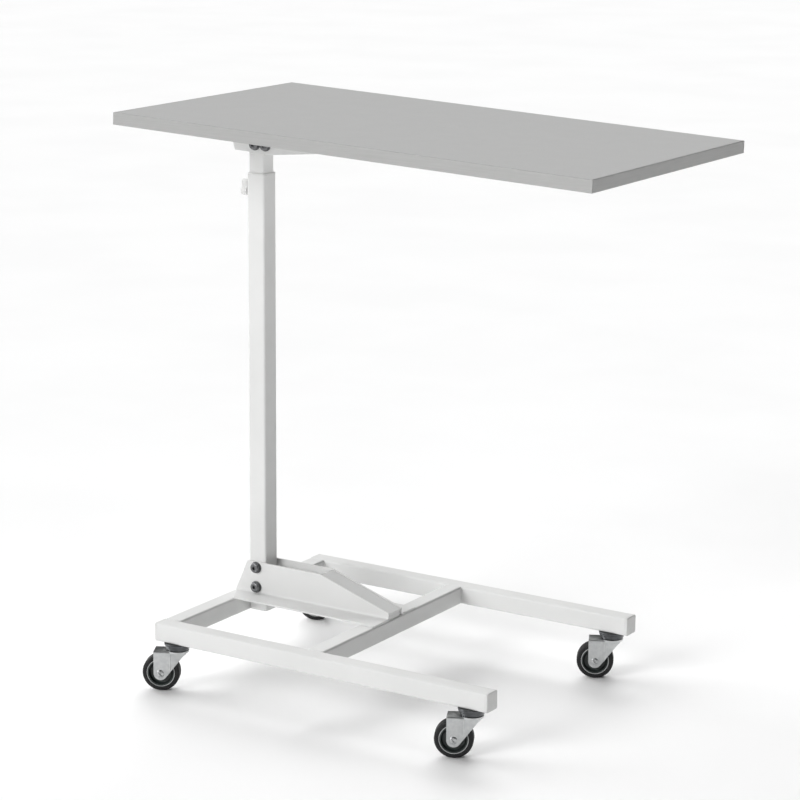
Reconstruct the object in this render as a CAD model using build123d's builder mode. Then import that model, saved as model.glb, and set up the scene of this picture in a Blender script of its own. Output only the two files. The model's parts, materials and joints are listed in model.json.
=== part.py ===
"""Overbed table on four swivel casters: a C-shaped frame of square steel tube with a
telescopic column at one end, an arm of bent sheet and a cantilevered laminate top.

Millimetres. +Z is up, +X runs from the column end to the free end of the top, and the
origin is on the floor under the middle of the top.
"""

import os
from math import acos, atan2, cos, hypot, radians, sin, tan

from build123d import *

# ---------------------------------------------------------------- driving dimensions
# Top
top_length = 700.0
top_width = 400.0
board_thickness = 16.0
edge_band_thickness = 2.0
top_height = 768.0          # upper face at the column end, as the column stands
top_slope = 2.1             # degrees that the free end hangs low

# Base
base_length = 515.0
base_width = 390.0
base_overhang = 51.0        # the top reaches this far past the base at the column end
tube_size = 25.0            # square tube of the base
tube_wall = 1.5
tube_corner = 3.0
middle_tube_place = 230.0   # left face of the middle tube, from the base's left end
cap_flange = 4.5            # plastic showing past the end of each rail
cap_wall = 2.0
cap_depth = 12.0
cap_edge = 0.8

# Column
outer_size = 28.0
outer_wall = 1.5
outer_corner = 3.0
outer_rise = 4.0            # the outer tube ends this far above the rails' underside
head_clear = 26.7           # inner tube showing under the head block at rest
collar_sleeve = 0.4         # the collar's wall between the two tubes
inner_wall = 1.5
inner_corner = 2.5
travel_down = 18.0          # from the height at rest
travel_up = 332.0
slide_gap = 0.1             # between a guide and the tube that it runs on
guide_to_bolt = 3.0         # left between the guide and the upper foot bolt, at the bottom
collar_flange = 3.0
collar_depth = 40.0
collar_chamfer = 1.0
guide_length = 14.0
guide_plug_depth = 22.0
guide_plug_wall = 2.5
foot_cap_flange = 2.0
foot_cap_depth = 16.0
foot_cap_wall = 2.0

# Foot gussets
gusset_sheet = 2.5
gusset_rise = 46.5          # height of the gussets above the cross tubes
gusset_flange = 36.0        # reach of the foot flange from the column's face
gusset_flat = 105.0         # level stretch of the upper edge, from the column's middle
gusset_end_rise = 11.0      # height left at the middle tube
gusset_back_inset = 15.0    # the upper edge starts this far behind the column's middle
gusset_toe = 3.0            # the gusset's toe stops this far inside the outer tube face
cover_sheet = 2.0
cover_recess = 1.2
cover_side_gap = 0.4
cover_overhang = 2.0        # the cover reaches this far past its own end lip

# Bolts (M8 button heads), as used at the foot and at the head
bolt_radius = 4.0
bolt_hole_radius = 4.2
bolt_head_radius = 7.0
bolt_head_height = 4.4
bolt_head_round = 2.2
socket_flat = 5.0
socket_depth = 2.6
washer_radius = 8.0
washer_thickness = 1.6
nut_flat = 13.0
nut_height = 6.5
bolt_end = 2.0              # thread past the nut
foot_bolt_low = 11.0        # lower bolt above the cross tubes' upper face
foot_bolt_pitch = 27.5

# Head block and arm
head_block_length = 44.0
head_block_wall = 2.0
head_bolt_pitch = 17.0
arm_sheet = 2.0
arm_depth = 47.0
arm_flange = 26.0
arm_start = 45.0            # from the top's column end, at the underside
arm_heel = 59.0             # where the slanted end meets the lower edge
arm_taper_start = 122.0
arm_end = 395.0
arm_end_depth = 8.0
arm_head_margin = 1.0       # the head block shows this much under the cheeks
screw_radius = 2.0
screw_head_radius = 4.0
screw_head_height = 2.4
screw_depth = 12.0
screw_line = 15.6           # the screws' line from the arm's inner tube face
screw_places = (60.0, 155.0, 265.0, 375.0)

# Height clamp on the column's outer face
clamp_below_rim = 19.0
stud_radius = 4.0
stud_gap = 0.08             # thread clearance, each side
boss_radius = 8.0
boss_height = 4.0
knob_radius = 12.0
knob_thickness = 10.0
knob_gap = 0.8
knob_bore_depth = 7.0
knob_core_radius = 7.2
knob_round = 1.5
knob_lobe_radius = 5.0
knob_lobes = 3
knob_turn = 250.0           # angle of the first lobe about the stud
pad_radius = 5.5
pad_thickness = 0.35
pad_gap = 0.05              # the pad's clearance from the inner tube
pad_side_gap = 0.4          # round the pad, in the wall
screw_pitch = 1.25
clamp_turns = 1.0           # from tight to free

# Casters
caster_inset = 29.0         # swivel axis from the end of the rail
caster_heading = 27.0       # degrees from +X, the way the fork's front points
caster_trail = 22.0
wheel_radius = 25.0
wheel_width = 17.0
tyre_depth = 6.0
tyre_shoulder = 3.0
ring_width = 1.3
ring_proud = 0.5
hub_boss_radius = 7.0
hub_boss_proud = 1.2        # past the tyre, each side
hub_web = 6.0
hub_rim = 3.0
axle_radius = 3.0
axle_gap = 0.08
axle_head_radius = 5.0
axle_head_height = 2.2
axle_nut_flat = 10.0
axle_nut_height = 4.0
axle_end = 1.0              # thread past the nut
axle_slot_length = 6.5
axle_slot_width = 2.0
axle_slot_depth = 1.4
axle_slot_turn = -50.0      # degrees from the fork's front, seen from the head
fork_sheet = 2.0
fork_side_gap = 0.3         # between the hub's boss and the fork, each side
fork_crown = 2.5
fork_crown_radius = 15.0
fork_back = 9.0             # metal round the axle
fork_toe_back = 4.0         # the slanted edge starts this far behind the fork's front
fork_toe_drop = 5.0         # and this far under the crown
wheel_to_crown = 3.5
race_height = 10.0          # from the rail down to the fork's crown
race_radius = 18.0
race_lip_radius = 15.5
race_lip_gap = 1.0
race_rim = 3.0
ball_radius = 2.0
ball_circle = 11.0
ball_count = 12
ball_gap = 0.05
kingpin_radius = 5.0
kingpin_gap = 0.08
kingpin_head_radius = 8.0
kingpin_head_height = 4.0
kingpin_head_gap = 0.1
insert_size = 18.0
insert_height = 9.0

# ---------------------------------------------------------------- places worked out
base_left = -top_length / 2 + base_overhang
base_right = base_left + base_length
rail_centre = base_width / 2 - tube_size / 2
caster_height = 2 * wheel_radius + wheel_to_crown + fork_crown + race_height
base_bottom = caster_height
base_top = base_bottom + tube_size
middle_left = base_left + middle_tube_place
middle_right = middle_left + tube_size
cross_length = base_width - 2 * tube_size
tube_bore = tube_size - 2 * tube_wall

column_x = base_left + tube_size + outer_size / 2
outer_bottom = base_bottom + outer_rise
outer_bore = outer_size - 2 * outer_wall
inner_size = outer_bore - 2 * (collar_sleeve + slide_gap)
inner_bore = inner_size - 2 * inner_wall

slope = radians(top_slope)
along_top = Vector(cos(slope), 0, -sin(slope))
up_top = Vector(sin(slope), 0, cos(slope))
top_corner = Vector(-top_length / 2, 0, top_height)
under_corner = top_corner - up_top * board_thickness
top_face = Plane(origin=top_corner, x_dir=along_top, z_dir=up_top)
under_face = Plane(origin=under_corner, x_dir=along_top, z_dir=up_top)
arm_side = Plane(origin=under_corner, x_dir=along_top, z_dir=(0, -1, 0))

# The head block's underside is a margin below the arm's lower edge at the column.
head_reach = column_x - under_corner.X
head_bottom = (
    under_corner.Z
    - arm_depth / cos(slope)
    - head_reach * tan(slope)
    - arm_head_margin
)
head_bolt_height = head_bottom + inner_size / 2
head_left = column_x - inner_size / 2
head_bolt_places = (column_x, column_x + head_bolt_pitch)
foot_bolt_heights = (
    base_top + foot_bolt_low,
    base_top + foot_bolt_low + foot_bolt_pitch,
)
# At the lowest setting the guide still clears the upper foot bolt.
inner_bottom = foot_bolt_heights[1] + bolt_radius + guide_to_bolt + guide_length + travel_down

outer_top = head_bottom - head_clear - collar_flange
outer_length = outer_top - outer_bottom
clamp_height = outer_top - clamp_below_rim
outer_face = column_x - outer_size / 2

swivel_places = {
    "front_left": (base_left + caster_inset, -rail_centre),
    "front_right": (base_right - caster_inset, -rail_centre),
    "back_left": (base_left + caster_inset, rail_centre),
    "back_right": (base_right - caster_inset, rail_centre),
}
crown_top = caster_height - race_height
crown_under = crown_top - fork_crown

os.makedirs("parts", exist_ok=True)


def save(part, name):
    """Label a finished piece and write it to its own file."""
    part.label = name
    export_step(part, f"parts/{name}.step")


def box_section(size, wall, corner):
    """Draw a square tube's section in the sketch that is open."""
    RectangleRounded(size, size, corner)
    RectangleRounded(size - 2 * wall, size - 2 * wall, corner - wall, mode=Mode.SUBTRACT)


def cross_plane(height):
    """A plane facing the front at the column's middle, with its own X along +X."""
    return Plane(origin=(column_x, 0, height), x_dir=(1, 0, 0), z_dir=(0, -1, 0))


# ---------------------------------------------------------------- base tubes
for name, side in (("front_rail", -1), ("back_rail", 1)):
    rail_start = Plane(
        origin=(base_left + cap_flange, side * rail_centre, base_bottom + tube_size / 2),
        x_dir=(0, 1, 0),
        z_dir=(1, 0, 0),
    )
    with BuildPart() as rail:
        with BuildSketch(rail_start):
            box_section(tube_size, tube_wall, tube_corner)
        extrude(amount=base_length - 2 * cap_flange)
        with BuildSketch(Plane.XY.offset(base_bottom)):
            with Locations(*[xy for xy in swivel_places.values() if xy[1] * side > 0]):
                Circle(kingpin_radius)
        extrude(amount=tube_wall, mode=Mode.SUBTRACT)
    save(rail.part, name)

for name, left in (("column_cross_tube", base_left), ("middle_cross_tube", middle_left)):
    tube_start = Plane(
        origin=(left + tube_size / 2, -cross_length / 2, base_bottom + tube_size / 2),
        x_dir=(1, 0, 0),
        z_dir=(0, 1, 0),
    )
    with BuildPart() as cross_tube:
        with BuildSketch(tube_start):
            box_section(tube_size, tube_wall, tube_corner)
        extrude(amount=cross_length)
    save(cross_tube.part, name)

with BuildPart() as rail_caps:
    for end, inwards in ((base_left, 1), (base_right, -1)):
        for side in (-1, 1):
            cap_face = Plane(
                origin=(end, side * rail_centre, base_bottom + tube_size / 2),
                x_dir=(0, 1, 0),
                z_dir=(inwards, 0, 0),
            )
            with BuildSketch(cap_face):
                RectangleRounded(tube_size, tube_size, tube_corner)
            extrude(amount=cap_flange)
            with BuildSketch(cap_face.offset(cap_flange)):
                RectangleRounded(tube_bore, tube_bore, tube_corner - tube_wall)
                Rectangle(
                    tube_bore - 2 * cap_wall, tube_bore - 2 * cap_wall, mode=Mode.SUBTRACT
                )
            extrude(amount=cap_depth)
    end_faces = rail_caps.faces().filter_by(Plane.YZ)
    chamfer(end_faces.sort_by(Axis.X)[:2].edges(), cap_edge)
    end_faces = rail_caps.faces().filter_by(Plane.YZ)
    chamfer(end_faces.sort_by(Axis.X)[-2:].edges(), cap_edge)
save(rail_caps.part, "rail_end_caps")

# ---------------------------------------------------------------- column
with BuildPart() as outer_column:
    with BuildSketch(Plane(origin=(column_x, 0, outer_bottom))):
        box_section(outer_size, outer_wall, outer_corner)
    extrude(amount=outer_length)
    with BuildSketch(cross_plane(0)):
        with Locations(*[(0, height) for height in foot_bolt_heights]):
            Circle(bolt_hole_radius)
    extrude(amount=outer_size, both=True, mode=Mode.SUBTRACT)
    with BuildSketch(Plane(origin=(outer_face, 0, clamp_height), z_dir=(1, 0, 0))):
        Circle(pad_radius + pad_side_gap)
    extrude(amount=outer_wall, mode=Mode.SUBTRACT)
save(outer_column.part, "outer_column")

with BuildPart() as foot_cap:
    with BuildSketch(Plane(origin=(column_x, 0, outer_bottom - foot_cap_flange))):
        RectangleRounded(outer_size, outer_size, outer_corner)
    extrude(amount=foot_cap_flange)
    with BuildSketch(Plane(origin=(column_x, 0, outer_bottom))):
        RectangleRounded(outer_bore, outer_bore, outer_corner - outer_wall)
        Rectangle(
            outer_bore - 2 * foot_cap_wall, outer_bore - 2 * foot_cap_wall, mode=Mode.SUBTRACT
        )
    extrude(amount=foot_cap_depth)
save(foot_cap.part, "column_foot_cap")

with BuildPart() as collar:
    with BuildSketch(Plane(origin=(column_x, 0, outer_top - collar_depth))):
        RectangleRounded(outer_bore, outer_bore, outer_corner - outer_wall)
    extrude(amount=collar_depth)
    with BuildSketch(Plane(origin=(column_x, 0, outer_top))):
        RectangleRounded(outer_size, outer_size, outer_corner)
    extrude(amount=collar_flange)
    chamfer(collar.faces().sort_by(Axis.Z)[-1].edges(), collar_chamfer)
    with BuildSketch(Plane(origin=(column_x, 0, outer_top - collar_depth))):
        RectangleRounded(
            inner_size + 2 * slide_gap, inner_size + 2 * slide_gap, inner_corner
        )
    extrude(amount=collar_depth + collar_flange, mode=Mode.SUBTRACT)
    with BuildSketch(Plane(origin=(outer_face, 0, clamp_height), z_dir=(1, 0, 0))):
        Circle(pad_radius + pad_side_gap)
    extrude(amount=outer_size / 2, mode=Mode.SUBTRACT)
save(collar.part, "column_collar")

with BuildPart() as inner_column:
    with BuildSketch(Plane(origin=(column_x, 0, inner_bottom))):
        box_section(inner_size, inner_wall, inner_corner)
    extrude(amount=head_bottom - inner_bottom)
save(inner_column.part, "inner_column")

with BuildPart() as guide:
    with BuildSketch(Plane(origin=(column_x, 0, inner_bottom - guide_length))):
        RectangleRounded(
            outer_bore - 2 * slide_gap, outer_bore - 2 * slide_gap, inner_corner
        )
    extrude(amount=guide_length)
    with BuildSketch(Plane(origin=(column_x, 0, inner_bottom))):
        RectangleRounded(inner_bore, inner_bore, inner_corner - inner_wall)
        Rectangle(
            inner_bore - 2 * guide_plug_wall,
            inner_bore - 2 * guide_plug_wall,
            mode=Mode.SUBTRACT,
        )
    extrude(amount=guide_plug_depth)
save(guide.part, "inner_column_guide")

# ---------------------------------------------------------------- foot gussets
gusset_top = base_top + gusset_rise
gusset_heel = column_x - gusset_back_inset
gusset_slope_start = column_x + gusset_flat
gusset_left = base_left + gusset_toe
cheek_outline = [
    (gusset_left, base_top),
    (gusset_heel, gusset_top),
    (gusset_slope_start, gusset_top),
    (middle_right, base_top + gusset_end_rise),
    (middle_right, base_top),
]
for name, side in (("front_gusset", -1), ("rear_gusset", 1)):
    column_side = side * outer_size / 2
    flange_edge = side * (outer_size / 2 + gusset_flange)
    with BuildPart() as gusset:
        with BuildSketch(Plane.XZ.offset(-column_side)):
            Polygon(*cheek_outline, align=None)
        extrude(amount=-side * gusset_sheet)
        with BuildSketch(Plane.XY.offset(base_top)):
            Polygon(
                (gusset_left, column_side),
                (gusset_heel, flange_edge),
                (middle_right, flange_edge),
                (middle_right, column_side),
                align=None,
            )
        extrude(amount=gusset_sheet)
        with BuildSketch(Plane.XZ):
            with Locations(*[(column_x, height) for height in foot_bolt_heights]):
                Circle(bolt_hole_radius)
        extrude(amount=outer_size, both=True, mode=Mode.SUBTRACT)
    save(gusset.part, name)

cover_run = middle_right - gusset_slope_start
cover_drop = gusset_rise - gusset_end_rise
cover_normal = Vector(cover_drop, 0, cover_run).normalized()
cover_along = Vector(cover_run, 0, -cover_drop).normalized()
cover_length = (cover_run**2 + cover_drop**2) ** 0.5
cover_start = Vector(gusset_slope_start, 0, gusset_top) - cover_normal * cover_recess
# The end lip stands on the middle tube and runs up into the cover's thickness.
lip_middle = middle_right - cover_overhang - cover_sheet / 2
lip_drop = (lip_middle - cover_start.X) * cover_drop / cover_run
lip_height = cover_start.Z - lip_drop - cover_sheet / 2 - base_top
with BuildPart() as cover:
    with BuildSketch(Plane(origin=cover_start, x_dir=cover_along, z_dir=cover_normal)):
        Rectangle(
            cover_length,
            outer_size - 2 * cover_side_gap,
            align=(Align.MIN, Align.CENTER),
        )
    extrude(amount=-cover_sheet)
    with BuildSketch(Plane(origin=(lip_middle, 0, base_top))):
        Rectangle(cover_sheet, outer_size - 2 * cover_side_gap)
    extrude(amount=lip_height)
save(cover.part, "gusset_cover")


# ---------------------------------------------------------------- bolted joints
def bolt_set(places, half_stack, bolt_name, washer_name, nut_name):
    """Button-head bolts along Y, heads to the front, washers each side, nuts behind."""
    head_face = half_stack + washer_thickness
    with BuildPart() as bolts:
        with BuildSketch(Plane.XZ.offset(head_face)):
            with Locations(*places):
                Circle(bolt_head_radius)
        extrude(amount=bolt_head_height)
        fillet(bolts.faces().sort_by(Axis.Y)[: len(places)].edges(), bolt_head_round)
        with BuildSketch(Plane.XZ.offset(head_face + bolt_head_height)):
            with Locations(*places):
                RegularPolygon(socket_flat / 2, 6, major_radius=False)
        extrude(amount=-socket_depth, mode=Mode.SUBTRACT)
        with BuildSketch(Plane.XZ.offset(head_face)):
            with Locations(*places):
                Circle(bolt_radius)
        extrude(amount=-2 * head_face - nut_height - bolt_end)
    save(bolts.part, bolt_name)

    with BuildPart() as washers:
        for face in (half_stack, -half_stack - washer_thickness):
            with BuildSketch(Plane.XZ.offset(face)):
                with Locations(*places):
                    Circle(washer_radius)
                    Circle(bolt_radius, mode=Mode.SUBTRACT)
            extrude(amount=washer_thickness)
    save(washers.part, washer_name)

    with BuildPart() as nuts:
        with BuildSketch(Plane.XZ.offset(-head_face)):
            with Locations(*places):
                RegularPolygon(nut_flat / 2, 6, major_radius=False)
                Circle(bolt_radius, mode=Mode.SUBTRACT)
        extrude(amount=-nut_height)
    save(nuts.part, nut_name)


bolt_set(
    [(column_x, height) for height in foot_bolt_heights],
    outer_size / 2 + gusset_sheet,
    "foot_bolts",
    "foot_washers",
    "foot_nuts",
)
bolt_set(
    [(x, head_bolt_height) for x in head_bolt_places],
    inner_size / 2 + arm_sheet,
    "head_bolts",
    "head_washers",
    "head_nuts",
)

# ---------------------------------------------------------------- head block and arm
with BuildPart() as head_block:
    with BuildSketch(
        Plane(origin=(head_left, 0, head_bolt_height), x_dir=(0, 1, 0), z_dir=(1, 0, 0))
    ):
        box_section(inner_size, head_block_wall, inner_corner)
    extrude(amount=head_block_length)
    with BuildSketch(Plane.XZ):
        with Locations(*[(x, head_bolt_height) for x in head_bolt_places]):
            Circle(bolt_hole_radius)
    extrude(amount=inner_size, both=True, mode=Mode.SUBTRACT)
save(head_block.part, "head_block")

arm_outline = [
    (arm_start, 0),
    (arm_heel, -arm_depth),
    (arm_taper_start, -arm_depth),
    (arm_end, -arm_end_depth),
    (arm_end, 0),
]
for name, side in (("front_arm_cheek", -1), ("rear_arm_cheek", 1)):
    cheek_side = side * inner_size / 2
    with BuildPart() as cheek:
        with BuildSketch(arm_side.offset(-cheek_side)):
            Polygon(*arm_outline, align=None)
        extrude(amount=-side * arm_sheet)
        with BuildSketch(under_face.offset(-arm_sheet)):
            with Locations(((arm_start + arm_end) / 2, cheek_side + side * arm_flange / 2)):
                Rectangle(arm_end - arm_start, arm_flange)
            with Locations(
                *[(u, cheek_side + side * screw_line) for u in screw_places]
            ):
                Circle(screw_radius, mode=Mode.SUBTRACT)
        extrude(amount=arm_sheet)
        with BuildSketch(Plane.XZ):
            with Locations(*[(x, head_bolt_height) for x in head_bolt_places]):
                Circle(bolt_hole_radius)
        extrude(amount=outer_size, both=True, mode=Mode.SUBTRACT)
    save(cheek.part, name)

# ---------------------------------------------------------------- top
screw_spots = [
    (u, side * (inner_size / 2 + screw_line)) for u in screw_places for side in (-1, 1)
]
with BuildPart() as board:
    with BuildSketch(under_face):
        with Locations((top_length / 2, 0)):
            Rectangle(
                top_length - 2 * edge_band_thickness, top_width - 2 * edge_band_thickness
            )
    extrude(amount=board_thickness)
    with BuildSketch(under_face):
        with Locations(*screw_spots):
            Circle(screw_radius)
    extrude(amount=screw_depth, mode=Mode.SUBTRACT)
save(board.part, "top_board")

with BuildPart() as screws:
    with BuildSketch(under_face.offset(-arm_sheet - screw_head_height)):
        with Locations(*screw_spots):
            Circle(screw_head_radius)
    extrude(amount=screw_head_height)
    with BuildSketch(under_face.offset(-arm_sheet)):
        with Locations(*screw_spots):
            Circle(screw_radius)
    extrude(amount=arm_sheet + screw_depth)
save(screws.part, "top_screws")

long_band = (top_length, edge_band_thickness)
short_band = (edge_band_thickness, top_width - 2 * edge_band_thickness)
band_offset_x = top_length / 2 - edge_band_thickness / 2
band_offset_y = top_width / 2 - edge_band_thickness / 2
edge_bands = {
    "edge_band_front": (long_band, 0, -band_offset_y),
    "edge_band_back": (long_band, 0, band_offset_y),
    "edge_band_column_end": (short_band, -band_offset_x, 0),
    "edge_band_free_end": (short_band, band_offset_x, 0),
}
for name, (size, u, v) in edge_bands.items():
    with BuildPart() as band:
        with BuildSketch(under_face):
            with Locations((top_length / 2 + u, v)):
                Rectangle(*size)
        extrude(amount=board_thickness)
    save(band.part, name)

# ---------------------------------------------------------------- height clamp
stud_axis = Plane(origin=(outer_face, 0, clamp_height), z_dir=(-1, 0, 0))

with BuildPart() as boss:
    with BuildSketch(stud_axis):
        RegularPolygon(boss_radius, 6)
        Circle(stud_radius + stud_gap, mode=Mode.SUBTRACT)
    extrude(amount=boss_height)
save(boss.part, "clamp_boss")

pad_face = inner_size / 2 + pad_gap
stud_end = column_x - pad_face - pad_thickness
knob_start = boss_height + knob_gap
with BuildPart() as stud:
    with BuildSketch(Plane(origin=(stud_end, 0, clamp_height), z_dir=(-1, 0, 0))):
        Circle(stud_radius)
    extrude(amount=stud_end - outer_face + knob_start + knob_bore_depth)
save(stud.part, "clamp_stud")

with BuildPart() as pad:
    with BuildSketch(Plane(origin=(stud_end, 0, clamp_height), z_dir=(1, 0, 0))):
        Circle(pad_radius)
    extrude(amount=pad_thickness)
save(pad.part, "clamp_pad")

with BuildPart() as knob:
    with BuildSketch(stud_axis.offset(knob_start)):
        Circle(knob_core_radius)
        with PolarLocations(knob_radius - knob_lobe_radius, knob_lobes, knob_turn):
            Circle(knob_lobe_radius)
    extrude(amount=knob_thickness)
    fillet(knob.faces().sort_by(Axis.X)[0].edges(), knob_round)
    with BuildSketch(stud_axis.offset(knob_start)):
        Circle(stud_radius)
    extrude(amount=knob_bore_depth, mode=Mode.SUBTRACT)
save(knob.part, "clamp_knob")

# ---------------------------------------------------------------- fixed caster pieces
with BuildPart() as inserts:
    with BuildSketch(Plane.XY.offset(base_bottom + tube_wall)):
        with Locations(*swivel_places.values()):
            Rectangle(insert_size, insert_size)
            Circle(kingpin_radius, mode=Mode.SUBTRACT)
    extrude(amount=insert_height)
save(inserts.part, "caster_inserts")

ball_height = crown_top + ball_gap + ball_radius
race_ceiling = ball_height + ball_radius + ball_gap
race_bottom = crown_top + race_lip_gap
race_section = [
    (kingpin_radius, caster_height),
    (race_radius, caster_height),
    (race_radius, caster_height - race_rim),
    (race_lip_radius, race_bottom),
    (ball_circle + ball_radius + ball_gap, race_bottom),
    (ball_circle + ball_radius + ball_gap, race_ceiling),
    (ball_circle - ball_radius - ball_gap, race_ceiling),
    (ball_circle - ball_radius - ball_gap, race_bottom),
    (kingpin_radius, race_bottom),
]
with BuildPart() as races:
    for x, y in swivel_places.values():
        with BuildSketch(Plane(origin=(x, y, 0), x_dir=(1, 0, 0), z_dir=(0, -1, 0))):
            Polygon(*race_section, align=None)
        revolve(axis=Axis((x, y, 0), (0, 0, 1)))
save(races.part, "caster_races")

with BuildPart() as balls:
    for x, y in swivel_places.values():
        with Locations((x, y, ball_height)):
            with PolarLocations(ball_circle, ball_count):
                Sphere(ball_radius)
save(balls.part, "caster_balls")

kingpin_head_top = crown_under - kingpin_head_gap
with BuildPart() as kingpins:
    with BuildSketch(Plane.XY.offset(kingpin_head_top - kingpin_head_height)):
        with Locations(*swivel_places.values()):
            Circle(kingpin_head_radius)
    extrude(amount=kingpin_head_height)
    with BuildSketch(Plane.XY.offset(kingpin_head_top)):
        with Locations(*swivel_places.values()):
            Circle(kingpin_radius)
    extrude(amount=base_bottom + tube_wall + insert_height - kingpin_head_top)
save(kingpins.part, "caster_kingpins")

# ---------------------------------------------------------------- turning caster pieces
heading = radians(caster_heading)
hub_boss_length = wheel_width + 2 * hub_boss_proud
fork_inside = hub_boss_length + 2 * fork_side_gap
fork_half = fork_inside / 2 + fork_sheet
hub_radius = wheel_radius - tyre_depth
ring_inner = hub_radius - ring_width
tail_length = caster_trail + fork_back

# The fork's slanted edge runs from its toe to touch the round end about the axle.
toe_forward = fork_half - fork_toe_back
toe_height = crown_under - fork_toe_drop
toe_reach = hypot(caster_trail + toe_forward, toe_height - wheel_radius)
toe_angle = atan2(toe_height - wheel_radius, caster_trail + toe_forward)
touch_angle = toe_angle - acos(fork_back / toe_reach)
touch_forward = -caster_trail + fork_back * cos(touch_angle)
touch_height = wheel_radius + fork_back * sin(touch_angle)

for corner, (x, y) in swivel_places.items():
    # Local X points the way the fork's front points and local Y runs along the axle.
    floor = Plane(origin=(x, y, 0), x_dir=(cos(heading), sin(heading), 0), z_dir=(0, 0, 1))
    forward = floor.x_dir
    wheel_centre = floor.from_local_coords(Vector(-caster_trail, 0, wheel_radius))
    fork_side = Plane(origin=(x, y, 0), x_dir=forward, z_dir=floor.y_dir * -1)
    wheel_plane = Plane(origin=wheel_centre, x_dir=forward, z_dir=floor.y_dir * -1)
    axle_line = Axis(wheel_centre, wheel_plane.z_dir)

    with BuildPart() as fork:
        with BuildSketch(floor.offset(crown_under)):
            Rectangle(tail_length, 2 * fork_half, align=(Align.MAX, Align.CENTER))
            Circle(fork_crown_radius)
        extrude(amount=fork_crown)
        with BuildSketch(floor):
            Circle(fork_half)
            Rectangle(tail_length, 2 * fork_half, align=(Align.MAX, Align.CENTER))
        extrude(amount=crown_under)
        with BuildSketch(floor):
            Circle(fork_inside / 2)
            Rectangle(2 * tail_length, fork_inside, align=(Align.MAX, Align.CENTER))
        extrude(amount=crown_under, mode=Mode.SUBTRACT)
        with BuildSketch(fork_side):
            with BuildLine():
                Line((-tail_length, crown_top), (-tail_length, wheel_radius))
                TangentArc(
                    (-tail_length, wheel_radius), (touch_forward, touch_height), tangent=(0, -1)
                )
                Polyline(
                    (touch_forward, touch_height),
                    (toe_forward, toe_height),
                    (fork_crown_radius, crown_under),
                    (fork_crown_radius, crown_top),
                    (-tail_length, crown_top),
                )
            make_face()
        extrude(amount=tail_length, both=True, mode=Mode.INTERSECT)
        with BuildSketch(floor):
            Circle(kingpin_radius + kingpin_gap)
        extrude(amount=crown_top, mode=Mode.SUBTRACT)
        with BuildSketch(wheel_plane):
            Circle(axle_radius)
        extrude(amount=2 * fork_half, both=True, mode=Mode.SUBTRACT)
    save(fork.part, f"{corner}_fork")

    with BuildPart() as axle:
        with BuildSketch(wheel_plane.offset(fork_half)):
            Circle(axle_head_radius)
        extrude(amount=axle_head_height)
        with BuildSketch(wheel_plane.offset(fork_half + axle_head_height)):
            SlotOverall(axle_slot_length, axle_slot_width, rotation=axle_slot_turn)
        extrude(amount=-axle_slot_depth, mode=Mode.SUBTRACT)
        with BuildSketch(wheel_plane.offset(-fork_half - axle_nut_height - axle_end)):
            Circle(axle_radius)
        extrude(amount=2 * fork_half + axle_nut_height + axle_end)
    save(axle.part, f"{corner}_axle_bolt")

    with BuildPart() as axle_nut:
        with BuildSketch(wheel_plane.offset(-fork_half - axle_nut_height)):
            RegularPolygon(axle_nut_flat / 2, 6, major_radius=False)
            Circle(axle_radius, mode=Mode.SUBTRACT)
        extrude(amount=axle_nut_height)
    save(axle_nut.part, f"{corner}_axle_nut")

    with BuildPart() as hub:
        with BuildSketch(wheel_plane.offset(-wheel_width / 2)):
            Circle(hub_radius)
            Circle(hub_radius - hub_rim, mode=Mode.SUBTRACT)
        extrude(amount=wheel_width)
        with BuildSketch(wheel_plane.offset(-hub_web / 2)):
            Circle(hub_radius - hub_rim)
        extrude(amount=hub_web)
        with BuildSketch(wheel_plane.offset(-hub_boss_length / 2)):
            Circle(hub_boss_radius)
        extrude(amount=hub_boss_length)
        with BuildSketch(wheel_plane):
            Circle(axle_radius + axle_gap)
        extrude(amount=hub_boss_length, both=True, mode=Mode.SUBTRACT)
    save(hub.part, f"{corner}_wheel_hub")

    with BuildPart() as tyre:
        with BuildSketch(wheel_plane.offset(-wheel_width / 2)):
            Circle(wheel_radius)
        extrude(amount=wheel_width)
        fillet(tyre.edges().filter_by(GeomType.CIRCLE), tyre_shoulder)
        with BuildSketch(wheel_plane):
            Circle(hub_radius)
        extrude(amount=wheel_width, both=True, mode=Mode.SUBTRACT)
    save(tyre.part, f"{corner}_tyre")

    with BuildPart() as rings:
        for face in (wheel_width / 2, -wheel_width / 2 - ring_proud):
            with BuildSketch(wheel_plane.offset(face)):
                Circle(hub_radius)
                Circle(ring_inner, mode=Mode.SUBTRACT)
            extrude(amount=ring_proud)
    save(rings.part, f"{corner}_wheel_rings")

# ---------------------------------------------------------------- what the joints need
guide_reach = outer_top - collar_depth - (inner_bottom + travel_up)
print(f"height slide {-travel_down:g} to {travel_up:g} mm")
print(f"guide {guide_reach:.0f} mm below the collar at the top")
print(f"clamp turns {clamp_turns:g}, advancing {clamp_turns * screw_pitch:g} mm")
print(f"outer tube {outer_length:.1f} mm long, clamp axis z {clamp_height:.3f} mm")
print(f"column x {column_x:g} mm, swivel axes at {list(swivel_places.values())}")
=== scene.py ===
# %% [markdown]
# # The looks of an overbed table
# The frame holds the measured solids and their joints. This lesson loads it, gives every solid
# a finish, and builds finer pieces where pressed sheet, moulded plastic or edging need more shape
# than the solids have. Nothing in the frame is moved: each new piece rides on a body by name.

# %% Load the frame
import json
import math

import bmesh
import bpy
from mathutils import Matrix, Vector


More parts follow.
